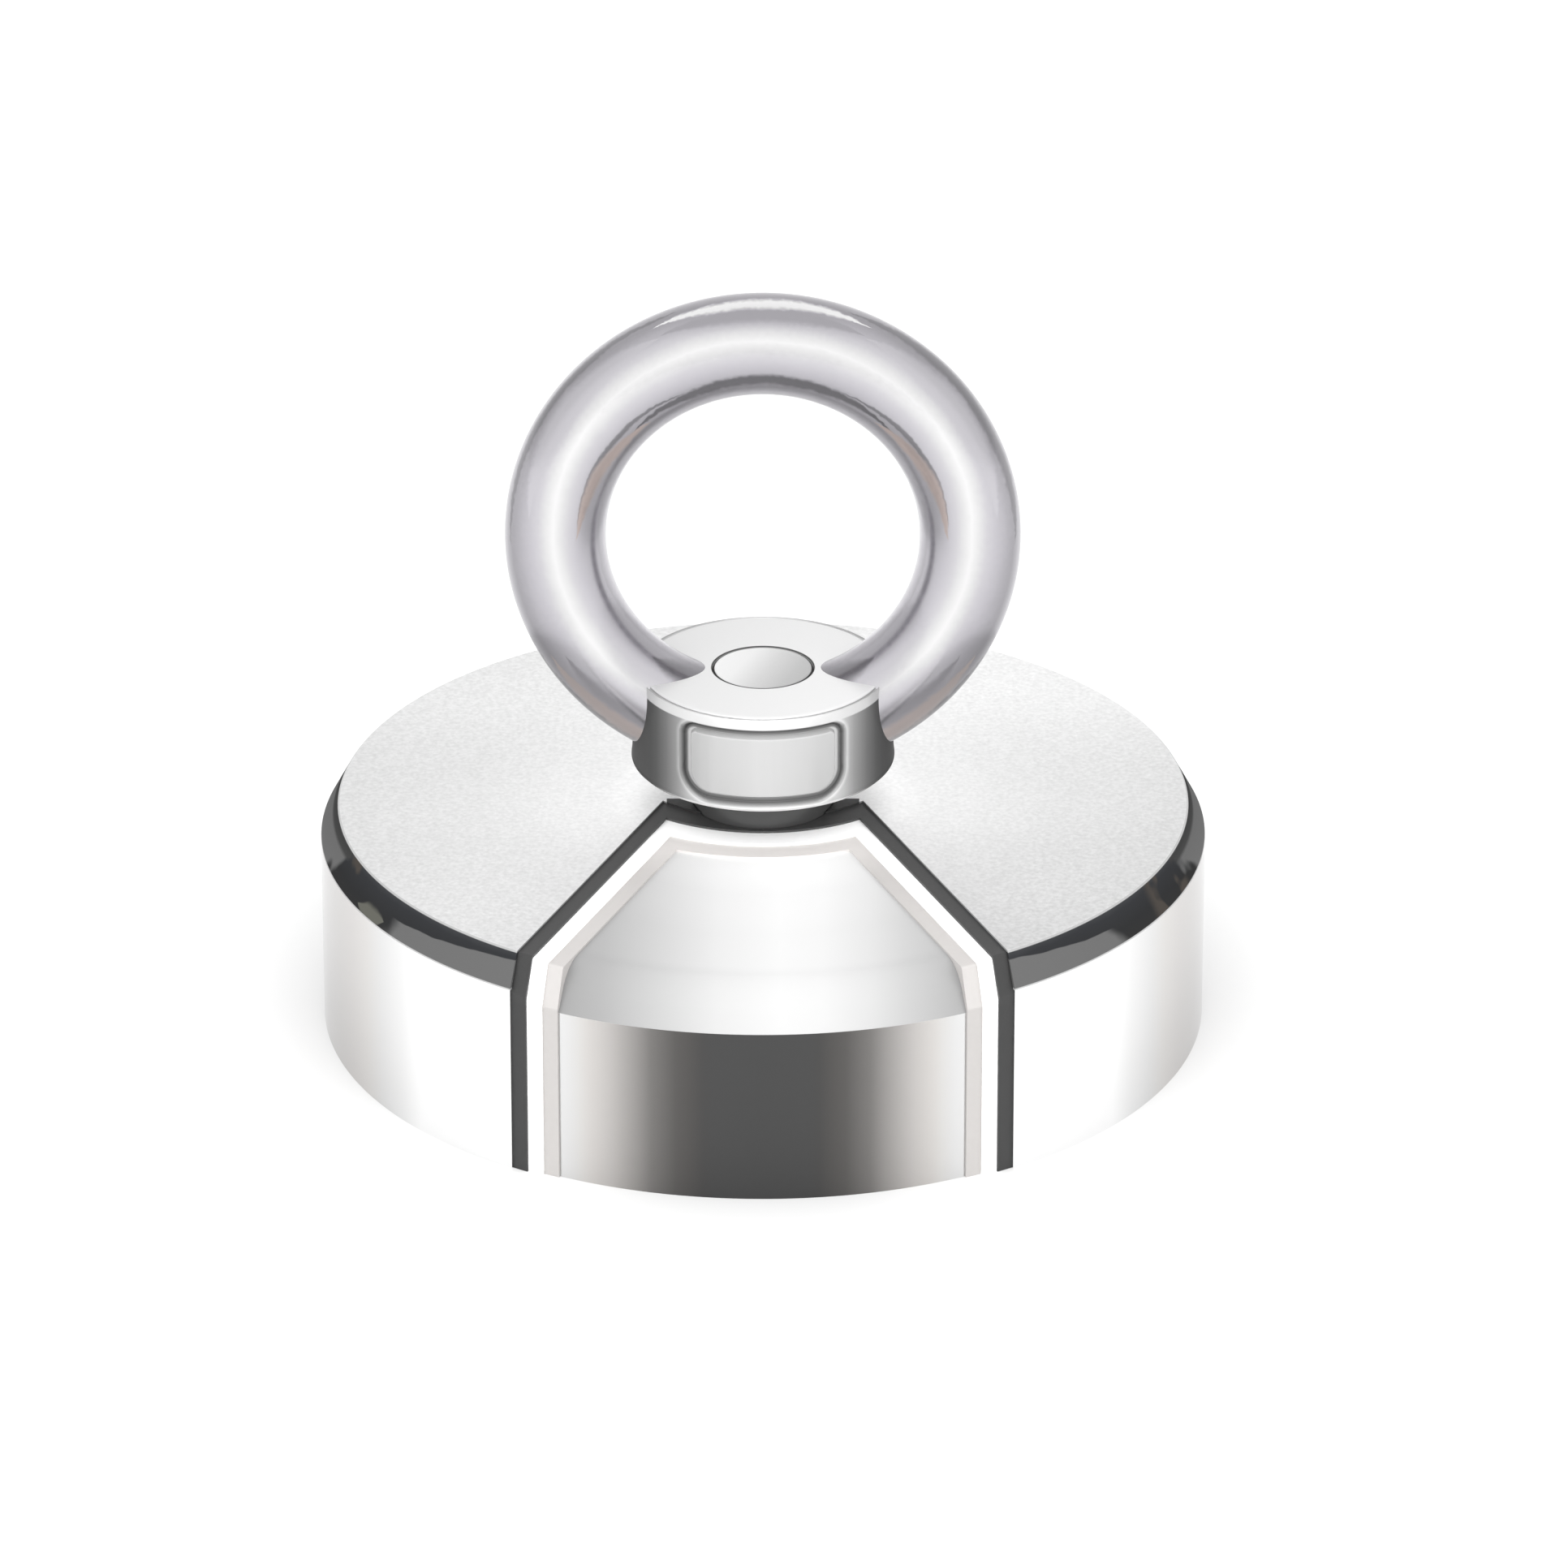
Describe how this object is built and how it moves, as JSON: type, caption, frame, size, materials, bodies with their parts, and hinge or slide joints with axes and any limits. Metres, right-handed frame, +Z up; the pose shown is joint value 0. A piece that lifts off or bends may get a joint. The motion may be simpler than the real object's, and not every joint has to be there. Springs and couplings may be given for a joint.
{
  "type": "fishing magnet",
  "caption": "Single-sided pot magnet with an eye nut on top, its plating coats cut back in steps at the front down to bare steel.",
  "frame": {"origin": "centre of the pulling face, on the screw's axis", "axes": "+Z up along the screw towards the eye, +X along the plane of the eye, the cutaway and the collar's panel face -Y"},
  "size_m": [0.06, 0.0594, 0.0521],
  "materials": {
    "bare_steel": "finely turned, bright",
    "warm_coat": "matt, warm light grey",
    "white_coat": "matt, white",
    "dark_coat": "matt, dark grey",
    "bright_coat": "mirror bright on the side and bevel, fine satin on top",
    "magnet": "plated, satin",
    "resin": "cast resin, slightly glossy",
    "screw_steel": "plain stainless",
    "stainless": "polished stainless with a soft sheen"
  },
  "bodies": {
    "root": {"steel_pot": "bare_steel", "base_coat": "warm_coat", "white_coat": "white_coat", "dark_coat": "dark_coat", "outer_coat": "bright_coat", "ring_magnet": "magnet", "resin_ring": "resin", "countersunk_screw": "screw_steel", "eye_nut": "stainless"}
  },
  "joints": []
}
